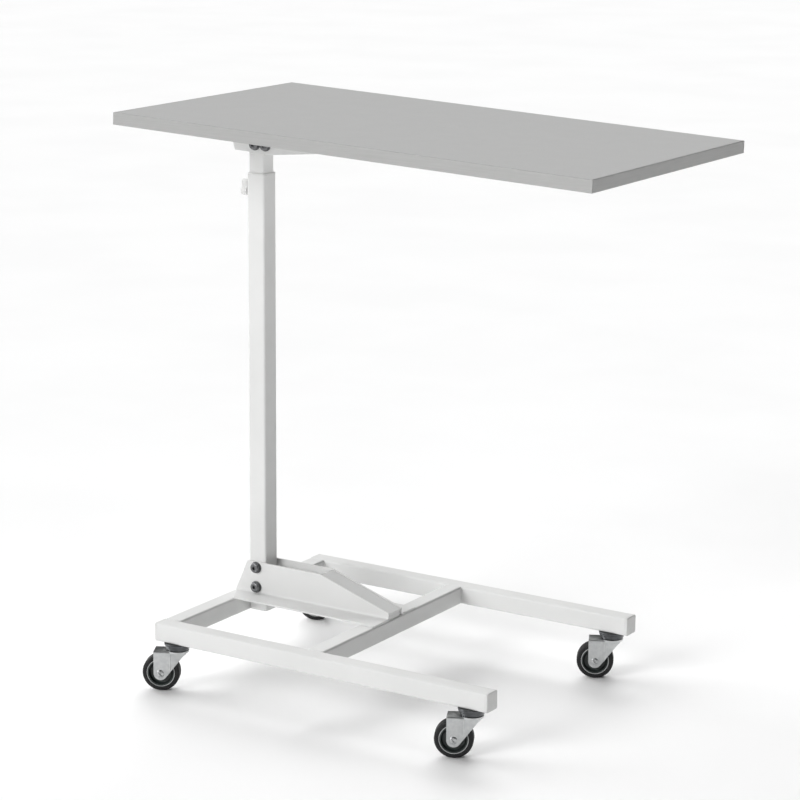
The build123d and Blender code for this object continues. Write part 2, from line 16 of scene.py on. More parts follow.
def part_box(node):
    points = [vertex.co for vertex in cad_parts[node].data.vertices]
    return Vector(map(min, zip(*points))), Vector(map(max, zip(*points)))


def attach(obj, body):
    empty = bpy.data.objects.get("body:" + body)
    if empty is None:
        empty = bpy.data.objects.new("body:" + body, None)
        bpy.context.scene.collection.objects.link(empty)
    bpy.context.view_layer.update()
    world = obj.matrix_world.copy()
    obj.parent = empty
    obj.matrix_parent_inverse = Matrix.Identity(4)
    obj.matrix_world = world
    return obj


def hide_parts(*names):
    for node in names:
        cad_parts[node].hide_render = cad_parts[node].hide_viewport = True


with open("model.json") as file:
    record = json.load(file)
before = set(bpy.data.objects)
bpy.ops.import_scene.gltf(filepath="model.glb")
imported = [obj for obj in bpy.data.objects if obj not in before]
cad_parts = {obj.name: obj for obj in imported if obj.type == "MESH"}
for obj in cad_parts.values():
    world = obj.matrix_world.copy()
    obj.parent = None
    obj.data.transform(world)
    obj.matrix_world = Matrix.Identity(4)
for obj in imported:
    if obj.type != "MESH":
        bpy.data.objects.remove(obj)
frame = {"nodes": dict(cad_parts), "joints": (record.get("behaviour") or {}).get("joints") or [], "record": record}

MM = 0.001
record = frame["record"]
joints = {joint["name"]: joint for joint in frame["joints"]}
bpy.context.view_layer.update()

# %% [markdown]
# ## Camera
# A long lens from a little above the top keeps the upright column nearly parallel. The camera is
# turned about its own axis by a fraction of a degree, so its three directions are built first and
# then written into its matrix as columns.

# %% Camera
azimuth = math.radians(32.55)
elevation = math.radians(13.335)
roll = math.radians(0.386)
camera_distance = 3.4706
aim = Vector((0.0334, -0.1132, 0.4235))
lens_length = 123.77

back = Vector((
    math.sin(azimuth) * math.cos(elevation),
    -math.cos(azimuth) * math.cos(elevation),
    math.sin(elevation),
))
level_right = (-back).cross(Vector((0, 0, 1))).normalized()
level_up = level_right.cross(-back)
right = level_right * math.cos(roll) + level_up * math.sin(roll)
upward = -level_right * math.sin(roll) + level_up * math.cos(roll)
camera_place = Matrix((right, upward, back)).transposed().to_4x4()
camera_place.translation = aim + back * camera_distance

camera_data = bpy.data.cameras.new("camera")
camera_data.lens = lens_length
camera = bpy.data.objects.new("camera", camera_data)
camera.matrix_world = camera_place
bpy.context.scene.collection.objects.link(camera)
bpy.context.scene.camera = camera
print("camera at", [round(value, 3) for value in camera_place.translation])

# %% [markdown]
# ## Node helpers
# Every finish is a Principled shader with procedural variation. Small helpers keep the finishes
# short: start a material, make noise on Object coordinates, turn a factor into a colour or a
# number, raise a relief, and wire a socket. All patterns are sized in metres, since Object
# coordinates are.

# %% Node helpers
def start_finish(name, metallic=0.0, **sockets):
    """A new material with its shader; uniform values go straight on the shader's sockets."""
    finish = bpy.data.materials.new(name)
    finish.use_nodes = True
    nodes = finish.node_tree.nodes
    nodes.clear()
    output = nodes.new("ShaderNodeOutputMaterial")
    shader = nodes.new("ShaderNodeBsdfPrincipled")
    shader.inputs["Metallic"].default_value = metallic
    for socket, value in sockets.items():
        shader.inputs[socket.replace("_", " ")].default_value = value
    finish.node_tree.links.new(shader.outputs["BSDF"], output.inputs["Surface"])
    return finish, shader


def grain(finish, size, detail=3.0, stretch=(1, 1, 1)):
    """Noise whose blots are about `size` metres across, longer where stretch is under one."""
    nodes, links = finish.node_tree.nodes, finish.node_tree.links
    coordinates = nodes.new("ShaderNodeTexCoord")
    mapping = nodes.new("ShaderNodeMapping")
    mapping.inputs["Scale"].default_value = stretch
    texture = nodes.new("ShaderNodeTexNoise")
    texture.inputs["Scale"].default_value = 1 / size
    texture.inputs["Detail"].default_value = detail
    links.new(coordinates.outputs["Object"], mapping.inputs["Vector"])
    links.new(mapping.outputs["Vector"], texture.inputs["Vector"])
    return texture.outputs["Fac"]


def colour_between(finish, factor, low, high, start=0.35, stop=0.65):
    """A colour that runs from low to high as the factor passes from start to stop."""
    ramp = finish.node_tree.nodes.new("ShaderNodeValToRGB")
    ramp.color_ramp.elements[0].position = start
    ramp.color_ramp.elements[1].position = stop
    ramp.color_ramp.elements[0].color = (*low, 1)
    ramp.color_ramp.elements[1].color = (*high, 1)
    finish.node_tree.links.new(factor, ramp.inputs["Fac"])
    return ramp.outputs["Color"]


def value_between(finish, factor, low, high):
    """A number that runs from low to high as the factor goes from 0.3 to 0.7."""
    spread = finish.node_tree.nodes.new("ShaderNodeMapRange")
    spread.inputs["From Min"].default_value = 0.3
    spread.inputs["From Max"].default_value = 0.7
    spread.inputs["To Min"].default_value = low
    spread.inputs["To Max"].default_value = high
    finish.node_tree.links.new(factor, spread.inputs["Value"])
    return spread.outputs["Result"]


def relief(finish, shader, height, depth, strength=1.0):
    """Bump of a real depth in metres."""
    bump = finish.node_tree.nodes.new("ShaderNodeBump")
    bump.inputs["Strength"].default_value = strength
    bump.inputs["Distance"].default_value = depth
    finish.node_tree.links.new(height, bump.inputs["Height"])
    finish.node_tree.links.new(bump.outputs["Normal"], shader.inputs["Normal"])


def wire(finish, output, shader, socket):
    finish.node_tree.links.new(output, shader.inputs[socket])


# %% [markdown]
# ## Paint, laminate and plastic
# Powder coat cures with a faint orange peel, about a millimetre from crest to crest, and its gloss
# is a little uneven. The laminate is a printed, satin sheet with a very fine pebble. Moulded
# plastic has a finer, harder grain. Each gets its own size of noise for colour, gloss and relief.

# %% Paint, laminate and plastic
def powder_coat():
    finish, shader = start_finish("white_powder_coat", IOR=1.5)
    wire(finish, colour_between(finish, grain(finish, 0.06), (0.700, 0.703, 0.696),
                                (0.722, 0.724, 0.718)), shader, "Base Color")
    wire(finish, value_between(finish, grain(finish, 0.012), 0.36, 0.46), shader, "Roughness")
    relief(finish, shader, grain(finish, 0.0011, detail=1.5), 0.00003, 0.45)
    return finish


def laminate():
    finish, shader = start_finish("grey_laminate", IOR=1.45, Specular_IOR_Level=0.16)
    speckle = grain(finish, 0.0016, detail=6.0)
    wire(finish, colour_between(finish, speckle, (0.472, 0.473, 0.470), (0.502, 0.503, 0.499)),
         shader, "Base Color")
    wire(finish, value_between(finish, grain(finish, 0.03), 0.56, 0.64), shader, "Roughness")
    relief(finish, shader, grain(finish, 0.0005, detail=2.0), 0.00002, 0.5)
    return finish


def edging():
    finish, shader = start_finish("grey_edging", IOR=1.48)
    lines = grain(finish, 0.0009, detail=2.0, stretch=(0.02, 0.02, 1))
    wire(finish, colour_between(finish, lines, (0.385, 0.386, 0.381), (0.410, 0.411, 0.406)),
         shader, "Base Color")
    wire(finish, value_between(finish, grain(finish, 0.02), 0.38, 0.46), shader, "Roughness")
    relief(finish, shader, lines, 0.00002, 0.4)
    return finish


def moulded(name, low, high, gloss, pebble=0.0006):
    finish, shader = start_finish(name, IOR=1.46)
    wire(finish, colour_between(finish, grain(finish, 0.008), low, high), shader, "Base Color")
    wire(finish, value_between(finish, grain(finish, 0.004), gloss - 0.04, gloss + 0.05),
         shader, "Roughness")
    relief(finish, shader, grain(finish, pebble, detail=2.0), 0.00003, 0.5)
    return finish


white_paint = powder_coat()
grey_top = laminate()
grey_edge = edging()
white_moulding = moulded("white_plastic", (0.665, 0.668, 0.660), (0.700, 0.702, 0.695), 0.42)
hub_moulding = moulded("black_hub_plastic", (0.018, 0.023, 0.022), (0.028, 0.036, 0.034), 0.34)
ring_moulding = moulded("grey_ring_plastic", (0.36, 0.37, 0.37), (0.43, 0.44, 0.44), 0.30)
print("coatings", [m.name for m in (white_paint, grey_top, grey_edge, white_moulding)])

# %% [markdown]
# ## Rubber and metals
# Zinc plate is bright but never a mirror: it has soft clouds of gloss, a faint warm and cool drift,
# and fine drawing lines from the press. The race is the same steel with its colour darkened: painted
# shade for the shadow it sits in under the rail and above the crown. Bolts are blackened. The tyre is
# matt rubber with a moulding grain.

# %% Rubber and metals
def plated(name, low, high, dull, bright, clouds=0.006):
    finish, shader = start_finish(name, metallic=1.0)
    wire(finish, colour_between(finish, grain(finish, clouds), low, high), shader, "Base Color")
    wire(finish, value_between(finish, grain(finish, clouds / 3, detail=5.0), bright, dull),
         shader, "Roughness")
    lines = grain(finish, 0.0006, detail=2.0, stretch=(1, 1, 0.08))
    relief(finish, shader, lines, 0.00002, 0.35)
    return finish


def rubber():
    finish, shader = start_finish("black_rubber", IOR=1.5, Specular_IOR_Level=0.35)
    wire(finish, colour_between(finish, grain(finish, 0.005), (0.007, 0.007, 0.007),
                                (0.013, 0.013, 0.014)), shader, "Base Color")
    wire(finish, value_between(finish, grain(finish, 0.002), 0.50, 0.68), shader, "Roughness")
    relief(finish, shader, grain(finish, 0.0004, detail=3.0), 0.00006, 0.6)
    return finish


zinc = plated("zinc_steel", (0.50, 0.51, 0.515), (0.57, 0.58, 0.58), 0.38, 0.28)
# The race steel's dark colour is painted shade for the shadow under the rail, not the steel's own tone.
race_steel = plated("dark_race_steel", (0.085, 0.088, 0.092), (0.12, 0.124, 0.13), 0.24, 0.16, 0.012)
black_steel = plated("black_steel", (0.13, 0.132, 0.136), (0.21, 0.212, 0.218), 0.44, 0.30, 0.003)
ball_steel = plated("bearing_steel", (0.60, 0.60, 0.61), (0.70, 0.70, 0.71), 0.16, 0.08)
tyre_rubber = rubber()
print("metals", [m.name for m in (zinc, race_steel, black_steel, ball_steel)])

# %% [markdown]
# ## Every solid gets its finish
# A solid whose shape is already right stays, and only its material slot changes. The record says
# which slot each node takes, so one table of slots to finishes dresses them all.

# %% Dress the solids
finishes = {
    "white_powder_coat": white_paint,
    "white_plastic": white_moulding,
    "black_steel": black_steel,
    "zinc_steel": zinc,
    "dark_race_steel": race_steel,
    "bearing_steel": ball_steel,
    "grey_laminate": grey_top,
    "grey_edge_band": grey_edge,
    "black_hub_plastic": hub_moulding,
    "black_rubber": tyre_rubber,
    "grey_ring_plastic": ring_moulding,
}
for part in record["subparts"]:
    solid = frame["nodes"][part["node"]]
    for material_slot in solid.material_slots:
        material_slot.material = finishes[part["material_slot"]]
print("dressed", len(record["subparts"]), "solids")

# %% [markdown]
# ## Mesh helpers
# A piece starts as a bmesh in a handy local frame, is shaped there by operators, and is then
# carried to its place by one matrix, so that the finished object itself stays at the origin.
# Turned pieces come from a profile and a full spin, bent sheets from a bent section that flat
# outlines trim, and holes from a boolean of two short-lived objects.

# %% Mesh helpers
def add_piece(shape, name, body, slot, stands_for=(), soften=0.0):
    """Write a bmesh to an object that rides on a body and takes the finish of a record slot."""
    bmesh.ops.remove_doubles(shape, verts=shape.verts, dist=0.002 * MM)
    mesh = bpy.data.meshes.new(name)
    shape.to_mesh(mesh)
    shape.free()
    mesh.materials.append(finishes[slot])
    mesh.polygons.foreach_set("use_smooth", [True] * len(mesh.polygons))
    mesh.set_sharp_from_angle(angle=math.radians(32))
    piece = bpy.data.objects.new(name, mesh)
    bpy.context.scene.collection.objects.link(piece)
    if soften:
        rounding = piece.modifiers.new("soft edges", "BEVEL")
        rounding.width = soften
        rounding.segments = 2
        rounding.limit_method = "ANGLE"
        rounding.angle_limit = math.radians(50)
    piece.modifiers.new("even faces", "WEIGHTED_NORMAL").keep_sharp = True
    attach(piece, body)
    if stands_for:
        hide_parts(*stands_for)
    print(f"{name}: {len(mesh.polygons)} faces on {body}")
    return piece


def place(origin, x_way, y_way, z_way):
    """A matrix that carries a local frame to an origin and three directions."""
    matrix = Matrix((x_way, y_way, z_way)).transposed().to_4x4()
    matrix.translation = origin
    return matrix


def turned(profile, matrix, steps=64):
    """A solid of revolution about local Z from closed (radius, height) points."""
    shape = bmesh.new()
    rim = [shape.verts.new((radius, 0, height)) for radius, height in profile]
    lines = [shape.edges.new(pair) for pair in zip(rim, rim[1:] + rim[:1])]
    bmesh.ops.spin(shape, geom=rim + lines, cent=(0, 0, 0), axis=(0, 0, 1), dvec=(0, 0, 0),
                   angle=2 * math.pi, steps=steps, use_merge=True)
    bmesh.ops.remove_doubles(shape, verts=shape.verts, dist=0.002 * MM)
    bmesh.ops.transform(shape, matrix=matrix, verts=shape.verts)
    bmesh.ops.recalc_face_normals(shape, faces=shape.faces)
    return shape


def plate(outline, thickness, matrix):
    """A flat plate: an outline in local XY, pulled up by its thickness."""
    shape = bmesh.new()
    face = shape.faces.new([shape.verts.new((x, y, 0)) for x, y in outline])
    pulled = bmesh.ops.extrude_face_region(shape, geom=[face])
    raised = [item for item in pulled["geom"] if isinstance(item, bmesh.types.BMVert)]
    bmesh.ops.translate(shape, verts=raised, vec=(0, 0, thickness))
    bmesh.ops.transform(shape, matrix=matrix, verts=shape.verts)
    bmesh.ops.recalc_face_normals(shape, faces=shape.faces)
    return shape


def block(low, high, matrix, rounding=0.0, segments=3):
    """A box between two local corners, with its edges rounded."""
    shape = bmesh.new()
    bmesh.ops.create_cube(shape, size=1.0)
    size = Vector(high) - Vector(low)
    bmesh.ops.scale(shape, vec=size, verts=shape.verts)
    bmesh.ops.translate(shape, vec=(Vector(low) + Vector(high)) / 2, verts=shape.verts)
    if rounding:
        bmesh.ops.bevel(shape, geom=list(shape.edges), offset=rounding, segments=segments,
                        profile=0.5, affect="EDGES", material=-1)
    bmesh.ops.transform(shape, matrix=matrix, verts=shape.verts)
    return shape


def rod(radius, low, high, matrix, segments=48):
    """A round bar along local Z."""
    shape = bmesh.new()
    bmesh.ops.create_cone(shape, cap_ends=True, segments=segments, radius1=radius,
                          radius2=radius, depth=high - low)
    bmesh.ops.translate(shape, vec=(0, 0, (low + high) / 2), verts=shape.verts)
    bmesh.ops.transform(shape, matrix=matrix, verts=shape.verts)
    return shape


def combine(first, second, operation):
    """The boolean of two closed shapes, made by two short-lived objects."""
    tools = []
    for shape in (first, second):
        mesh = bpy.data.meshes.new("tool")
        shape.to_mesh(mesh)
        shape.free()
        tool = bpy.data.objects.new("tool", mesh)
        bpy.context.scene.collection.objects.link(tool)
        tools.append(tool)
    change = tools[0].modifiers.new("change", "BOOLEAN")
    change.object = tools[1]
    change.operation = operation
    change.solver = "EXACT"
    settled = tools[0].evaluated_get(bpy.context.evaluated_depsgraph_get())
    result = bmesh.new()
    result.from_mesh(settled.to_mesh())
    for tool in tools:
        bpy.data.objects.remove(tool)
    return result


def merge(shapes):
    """Several shapes as one bmesh."""
    whole = bmesh.new()
    for shape in shapes:
        mesh = bpy.data.meshes.new("passing")
        shape.to_mesh(mesh)
        shape.free()
        whole.from_mesh(mesh)
        bpy.data.meshes.remove(mesh)
    return whole


def arc(centre, radius, first, last, steps):
    """Points on a circle from one angle to another, in degrees, ends included."""
    angles = [math.radians(first + (last - first) * step / steps) for step in range(steps + 1)]
    return [(centre[0] + radius * math.cos(a), centre[1] + radius * math.sin(a)) for a in angles]


# %% [markdown]
# ## The top
# The board is pressed wood with a laminate on each face, and each side carries a 2 mm edging strip
# that the machine trims flush and eases by a little over half a millimetre. That eased arris is
# what catches the light at the corners. The record's mount gives the upper face's middle and its
# slope, so the pieces are made level about that point and carried there.

# %% The top
top_length = 700 * MM
top_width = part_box("edge_band_back")[1].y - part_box("edge_band_front")[0].y
board_thickness = 16 * MM
strip = 2 * MM
arris = 0.6 * MM

top_mount = record["mounts"][0]
top_up = Vector(top_mount["axis"])
top_along = Vector((top_up.z, 0, -top_up.x))
top_place = place(Vector(top_mount["pos_m"]), top_along, Vector((0, 1, 0)), top_up)

board_x = top_length / 2 - strip
board_y = top_width / 2 - strip
board = block((-board_x, -board_y, -board_thickness), (board_x, board_y, 0), top_place, 0.12 * MM, 2)
add_piece(board, "top_panel", "lift", "grey_laminate", ["top_board"])

strips = {
    "edging_front": ("edge_band_front", (-board_x - strip, -board_y - strip), (board_x + strip, -board_y)),
    "edging_back": ("edge_band_back", (-board_x - strip, board_y), (board_x + strip, board_y + strip)),
    "edging_column_end": ("edge_band_column_end", (-board_x - strip, -board_y), (-board_x, board_y)),
    "edging_free_end": ("edge_band_free_end", (board_x, -board_y), (board_x + strip, board_y)),
}
for name, (node, low, high) in strips.items():
    band = block((*low, -board_thickness), (*high, 0), top_place, arris, 3)
    add_piece(band, name, "lift", "grey_edge_band", [node])

# %% [markdown]
# ## Bent sheet: the gussets and the arm
# A press brake folds each gusset and each arm cheek from flat sheet, and the sheet keeps its
# thickness round the bend. So the piece starts as the bent section, an L with a round inside and a
# larger round outside, pulled along the fold. Two flat outlines then trim it, as the blank was cut
# before bending: one trims the upright leaf, the other the level flange.

# %% A folded sheet
def folded(leaf, flange, fold, radius, sheet, matrix):
    """A bent sheet along local X, trimmed by a leaf outline in XZ and a flange outline in XY."""
    reach = max(max(z for x, z in leaf), max(y for x, y in flange)) + 5 * MM
    inside = arc((radius, radius), radius, 180, 270, 6)
    outside = arc((radius, radius), radius + sheet, 270, 180, 6)
    section = [(0, reach)] + inside + [(reach, 0), (reach, -sheet)] + outside + [(-sheet, reach)]
    along = place(Vector((fold[0] - MM, 0, 0)), Vector((0, 1, 0)), Vector((0, 0, 1)), Vector((1, 0, 0)))
    angle = plate(section, fold[1] - fold[0] + 2 * MM, along)
    below = -sheet - 2 * MM
    upright = place(Vector((0, 2 * reach, 0)), Vector((1, 0, 0)), Vector((0, 0, 1)), Vector((0, -1, 0)))
    leaf_cut = plate([(fold[0], below)] + leaf + [(fold[1], below)], 4 * reach, upright)
    level = place(Vector((0, 0, -2 * reach)), Vector((1, 0, 0)), Vector((0, 1, 0)), Vector((0, 0, 1)))
    flange_cut = plate([(fold[0], below)] + flange + [(fold[1], below)], 4 * reach, level)
    shape = combine(combine(angle, leaf_cut, "INTERSECT"), flange_cut, "INTERSECT")
    bmesh.ops.transform(shape, matrix=matrix, verts=shape.verts)
    bmesh.ops.recalc_face_normals(shape, faces=shape.faces)
    return shape


def drilled(shape, spots):
    """Holes for the bolts, right through along Y at (x, z) places."""
    for x, z in spots:
        across = place(Vector((x, 0, z)), Vector((1, 0, 0)), Vector((0, 0, -1)), Vector((0, 1, 0)))
        shape = combine(shape, rod(bolt_hole, -60 * MM, 60 * MM, across), "DIFFERENCE")
    return shape


# %% [markdown]
# ## The foot gussets
# Two gussets hold the column's foot between them. The second is the first mirrored, which turns a
# shape inside out, so the helper recalculates the normals after it has placed the piece.

# %% The foot gussets
gusset_sheet = 2.5 * MM
fold_radius = 3.0 * MM
column_low, column_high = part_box("outer_column")
column_middle = (column_low.x + column_high.x) / 2
gusset_low, gusset_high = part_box("front_gusset")
heel = column_middle - 15 * MM
slope_start = column_middle + 105 * MM
cheek_y = column_high.y + gusset_sheet
flange_y = -gusset_low.y
flange_z = gusset_low.z + gusset_sheet
end_rise = 11 * MM
bolt_hole = 4.2 * MM
bolt_head = 7 * MM
foot_bolt_low, foot_bolt_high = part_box("foot_bolts")
foot_spots = [(column_middle, z) for z in (foot_bolt_low.z + bolt_head, foot_bolt_high.z - bolt_head)]

leaf = [(gusset_low.x, -gusset_sheet), (heel, gusset_high.z - flange_z),
        (slope_start, gusset_high.z - flange_z), (gusset_high.x, gusset_low.z + end_rise - flange_z)]
flange = [(gusset_low.x, -gusset_sheet), (heel, flange_y - cheek_y), (gusset_high.x, flange_y - cheek_y)]
for name, node, side in (("foot_cheek_front", "front_gusset", -1), ("foot_cheek_rear", "rear_gusset", 1)):
    spot = place(Vector((0, side * cheek_y, flange_z)), Vector((1, 0, 0)), Vector((0, side, 0)),
                 Vector((0, 0, 1)))
    cheek = folded(leaf, flange, (gusset_low.x, gusset_high.x), fold_radius, gusset_sheet, spot)
    add_piece(drilled(cheek, foot_spots), name, "base", "white_powder_coat", [node], 0.35 * MM)

# %% [markdown]
# ## The arm under the top
# The arm's cheeks are folded the same way, upside down: the flange lies flat under the board and
# the leaf hangs from it. They take the board's slope from the same matrix that placed the board.

# %% The arm under the top
arm_sheet = 2 * MM
arm_depth = 47 * MM
arm_flange = 26 * MM
arm_start = -top_length / 2 + 45 * MM
arm_heel = -top_length / 2 + 59 * MM
arm_taper = -top_length / 2 + 122 * MM
arm_end = -top_length / 2 + 395 * MM
arm_tip = 8 * MM
inner_low, inner_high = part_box("inner_column")
arm_y = inner_high.y + arm_sheet
head_low, head_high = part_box("head_bolts")
head_bolt_z = (head_low.z + head_high.z) / 2
head_spots = [(x, head_bolt_z) for x in (head_low.x + bolt_head, head_high.x - bolt_head)]

leaf = [(arm_start, -arm_sheet), (arm_heel, arm_depth - arm_sheet), (arm_taper, arm_depth - arm_sheet),
        (arm_end, arm_tip - arm_sheet)]
flange = [(arm_start, arm_flange - arm_sheet), (arm_end, arm_flange - arm_sheet)]
under_top = -board_thickness - arm_sheet
for name, node, side in (("arm_front", "front_arm_cheek", -1), ("arm_rear", "rear_arm_cheek", 1)):
    spot = top_place @ place(Vector((0, side * arm_y, under_top)), Vector((1, 0, 0)),
                             Vector((0, side, 0)), Vector((0, 0, -1)))
    cheek = folded(leaf, flange, (arm_start, arm_end), 2 * MM, arm_sheet, spot)
    add_piece(drilled(cheek, head_spots), name, "lift", "white_powder_coat", [node], 0.3 * MM)

# %% [markdown]
# ## The casters
# One fork is pressed from sheet: a flat crown with a round nose, and two legs that a slanted cut
# trims to a round end about the axle. It is drawn once in a frame with X ahead, Y along the axle
# and Z up, and set at each corner by the swivel and roll joints. Wheel, hub, rings and race are
# turned pieces.

# %% Caster sizes and places
wheel_radius = 25 * MM
trail = 22 * MM
leg_half = 12 * MM
leg_sheet = 2 * MM
leg_round = 9 * MM
ridge = -9 * MM
rib_radius = 1.4 * MM
rib_centre = leg_half * 0.935
crown_round = 2.6 * MM
inner_round = 0.8 * MM
kingpin_hole = 5.1 * MM
axle_radius = 3 * MM
axle_head = 2.2 * MM
crown_top = 56 * MM
crown_sheet = 2.5 * MM
crown_radius = 15 * MM
rail_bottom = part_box("front_rail")[0].z

corners = ("front_left", "front_right", "back_left", "back_right")
caster_places = {}
wheel_places = {}
for corner in corners:
    swivel = joints[f"{corner}_swivel"]["pos_m"]
    roll_joint = joints[f"{corner}_roll"]
    across = -Vector(roll_joint["axis"])
    ahead = across.cross(Vector((0, 0, 1)))
    caster_places[corner] = place(Vector((swivel[0], swivel[1], 0)), ahead, across, Vector((0, 0, 1)))
    wheel_places[corner] = place(Vector(roll_joint["pos_m"]), ahead, Vector((0, 0, -1)), across)
print("swivel axes", {c: [round(v, 3) for v in m.translation] for c, m in caster_places.items()})


# %% [markdown]
# ## The pressed fork
# The shell is a rounded block with a smaller rounded block taken out of it, which leaves a sheet of
# even thickness. A thick plate with the side outline trims it, and a rib stiffens each leg.

# %% The pressed fork
def bent_shell(inset, top, bottom, rounding):
    """A closed block with the fork's plan, its upper rim rounded as the press leaves it."""
    tail = -trail - leg_round - 2 * inset
    side = [(tail, leg_half), (ridge - 0.9 * MM, leg_half), (ridge + 0.9 * MM, leg_half - 0.25 * MM),
            (7 * MM, leg_half - 3.6 * MM), (9.5 * MM, 6.8 * MM), (11.2 * MM, 4.4 * MM)]
    side = [(x - inset * (x > 8 * MM), y - inset) for x, y in side]
    plan = side + [(leg_half - inset, 0)] + [(x, -y) for x, y in reversed(side)]
    shape = plate(plan, top - bottom, Matrix.Translation((0, 0, bottom)))
    rim = [edge for edge in shape.edges if all(vert.co.z > top - 0.01 * MM for vert in edge.verts)
           and not all(vert.co.x < -trail for vert in edge.verts)]
    bmesh.ops.bevel(shape, geom=rim, offset=rounding, segments=4, profile=0.5, affect="EDGES",
                    material=-1)
    return shape


def fork_side():
    """The side outline, as a thick plate across the fork."""
    toe = (leg_half - 4 * MM, crown_top - crown_sheet - 5 * MM)
    reach = Vector((toe[0] + trail, toe[1] - wheel_radius))
    touch = math.degrees(math.atan2(reach.y, reach.x) - math.acos(leg_round / reach.length))
    outline = arc((-trail, wheel_radius), leg_round, 180, 360 + touch, 16)
    outline += [toe, (crown_radius, crown_top - crown_sheet), (crown_radius, crown_top + MM),
                (-trail - leg_round, crown_top + MM)]
    side_on = place(Vector((0, 20 * MM, 0)), Vector((1, 0, 0)), Vector((0, 0, 1)), Vector((0, -1, 0)))
    return plate(outline, 40 * MM, side_on)


upright = Matrix.Identity(4)
axle_way = place(Vector((-trail, 0, wheel_radius)), Vector((1, 0, 0)), Vector((0, 0, -1)),
                 Vector((0, 1, 0)))
outer = bent_shell(0, crown_top, 12 * MM, crown_round)
inner = bent_shell(leg_sheet, crown_top - crown_sheet, 5 * MM, inner_round)
for y in (-rib_centre, rib_centre):
    rib = rod(rib_radius, 12 * MM, crown_top - 2.4 * MM, Matrix.Translation((ridge, y, 0)), 32)
    outer = combine(outer, rib, "UNION")
fork = combine(outer, inner, "DIFFERENCE")
fork = combine(fork, fork_side(), "INTERSECT")
crown = rod(crown_radius, crown_top - crown_sheet, crown_top, upright)
fork = combine(fork, crown, "UNION")
fork = combine(fork, rod(kingpin_hole, 40 * MM, 60 * MM, upright), "DIFFERENCE")
fork = combine(fork, rod(axle_radius, -20 * MM, 20 * MM, axle_way), "DIFFERENCE")
fork_mesh = bpy.data.meshes.new("fork")
fork.to_mesh(fork_mesh)
fork.free()
for corner in corners:
    shape = bmesh.new()
    shape.from_mesh(fork_mesh)
    bmesh.ops.transform(shape, matrix=caster_places[corner], verts=shape.verts)
    add_piece(shape, f"{corner}_fork_pressing", f"{corner}_caster", "zinc_steel",
              [f"{corner}_fork"], soften=0.3 * MM)
bpy.data.meshes.remove(fork_mesh)


# %% [markdown]
# ## Wheels and races
# The tyre has a gently crowned tread and rounded shoulders, the hub is a dished web between rim
# and boss, and the light ring is a thin bead at the hub's edge. The race under the rail is a deep
# pressing whose lip curls in over the balls.

# %% Wheels and races
half_width = 8.5 * MM
hub_radius = 19 * MM
shoulder = 3 * MM


def tyre_profile():
    upper = arc((wheel_radius - shoulder, half_width - shoulder), shoulder, 88, 12, 6)
    lower = [(radius, -height) for radius, height in reversed(upper)]
    side = [(hub_radius, half_width - 0.3 * MM), (hub_radius + 0.6 * MM, half_width)]
    other = [(radius, -height) for radius, height in reversed(side)]
    crown_line = [(wheel_radius, 2.5 * MM), (wheel_radius, -2.5 * MM)]
    return side + upper + crown_line + lower + other


def hub_profile():
    face = [(hub_radius, half_width), (16.4 * MM, half_width), (15.9 * MM, half_width - 0.6 * MM),
            (15.6 * MM, 5.2 * MM), (14.6 * MM, 3.7 * MM), (12.8 * MM, 3.0 * MM), (9.4 * MM, 3.1 * MM),
            (8.0 * MM, 4.0 * MM), (7.2 * MM, 5.8 * MM), (7.0 * MM, 9.4 * MM), (6.7 * MM, 9.7 * MM),
            (3.08 * MM, 9.7 * MM)]
    return face + [(radius, -height) for radius, height in reversed(face)]


def ring_profile(way):
    bead = arc((hub_radius - 0.65 * MM, half_width), 0.5 * MM, 0, 180, 6)
    foot = [(hub_radius - 1.3 * MM, half_width - 0.3 * MM), (hub_radius - MM * 0.02, half_width - 0.3 * MM)]
    return [(radius, way * height) for radius, height in bead + foot]


race_profile = [(r * MM, rail_bottom - h * MM) for r, h in (
    (5.05, 0), (17.5, 0), (17.9, 0.3), (18.0, 0.9), (17.9, 2.6), (17.4, 3.4), (16.8, 4.6),
    (16.2, 6.4), (15.5, 8.0), (14.8, 8.8), (14.0, 9.0), (13.05, 9.0), (13.05, 5.9), (8.95, 5.9),
    (8.95, 9.0), (5.05, 9.0))]

races = []
for corner in corners:
    wheel = wheel_places[corner]
    body = f"{corner}_wheel"
    add_piece(turned(tyre_profile(), wheel, 96), f"{corner}_tyre_tread", body, "black_rubber",
              [f"{corner}_tyre"])
    add_piece(turned(hub_profile(), wheel, 72), f"{corner}_hub_moulding", body,
              "black_hub_plastic", [f"{corner}_wheel_hub"])
    beads = merge([turned(ring_profile(way), wheel, 72) for way in (1, -1)])
    add_piece(beads, f"{corner}_ring_beads", body, "grey_ring_plastic", [f"{corner}_wheel_rings"])
    races.append(turned(race_profile, caster_places[corner], 72))
# The races take the darkened steel: painted shade for the shadow under the rail.
add_piece(merge(races), "swivel_races", "base", "dark_race_steel", ["caster_races"])

# %% [markdown]
# ## Axle bolts
# Each wheel runs on a bolt with a low domed head and a driver slot. The bolt is turned from one
# profile, the slot is a rounded block taken out of the head, and the whole is made upright and only
# then carried to its wheel, so the same steps serve all four corners.

